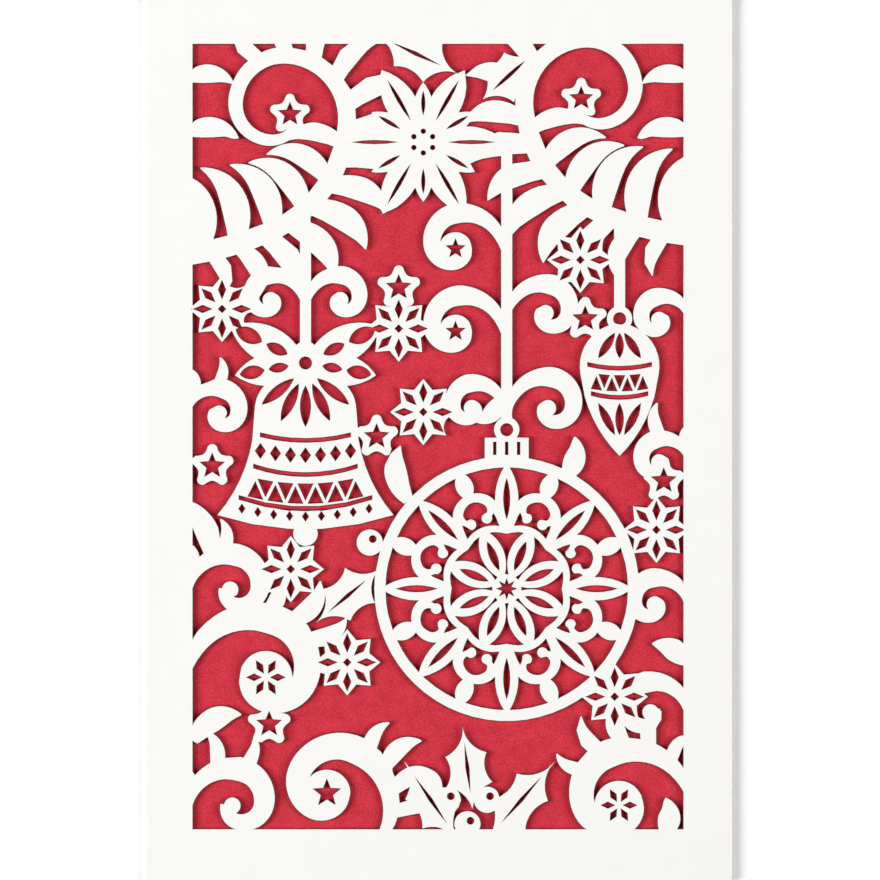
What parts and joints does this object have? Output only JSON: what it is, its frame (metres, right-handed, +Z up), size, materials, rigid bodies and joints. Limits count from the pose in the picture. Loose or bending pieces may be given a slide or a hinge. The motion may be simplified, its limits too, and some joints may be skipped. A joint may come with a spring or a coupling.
{
  "type": "laser-cut greeting card",
  "caption": "Folded card with a laser-cut lattice of winter ornaments in its front leaf, over a coloured sheet taped behind the window.",
  "frame": {"origin": "middle of the card's footprint, on the underside of the back leaf", "axes": "+X across the card from the fold to the opening edge, +Y up the card's height, +Z up out of the front leaf"},
  "size_m": [0.12, 0.18, 0.0019],
  "materials": {
    "ivory_card": "matte, slightly pearly",
    "red_pearl_paper": "pearlescent",
    "foam_tape": "matte foam"
  },
  "bodies": {
    "root": {"cover": "ivory_card", "backing_sheet": "red_pearl_paper", "tape_fold_side": "foam_tape", "tape_opening_side": "foam_tape", "tape_top": "foam_tape", "tape_foot": "foam_tape"}
  },
  "joints": []
}
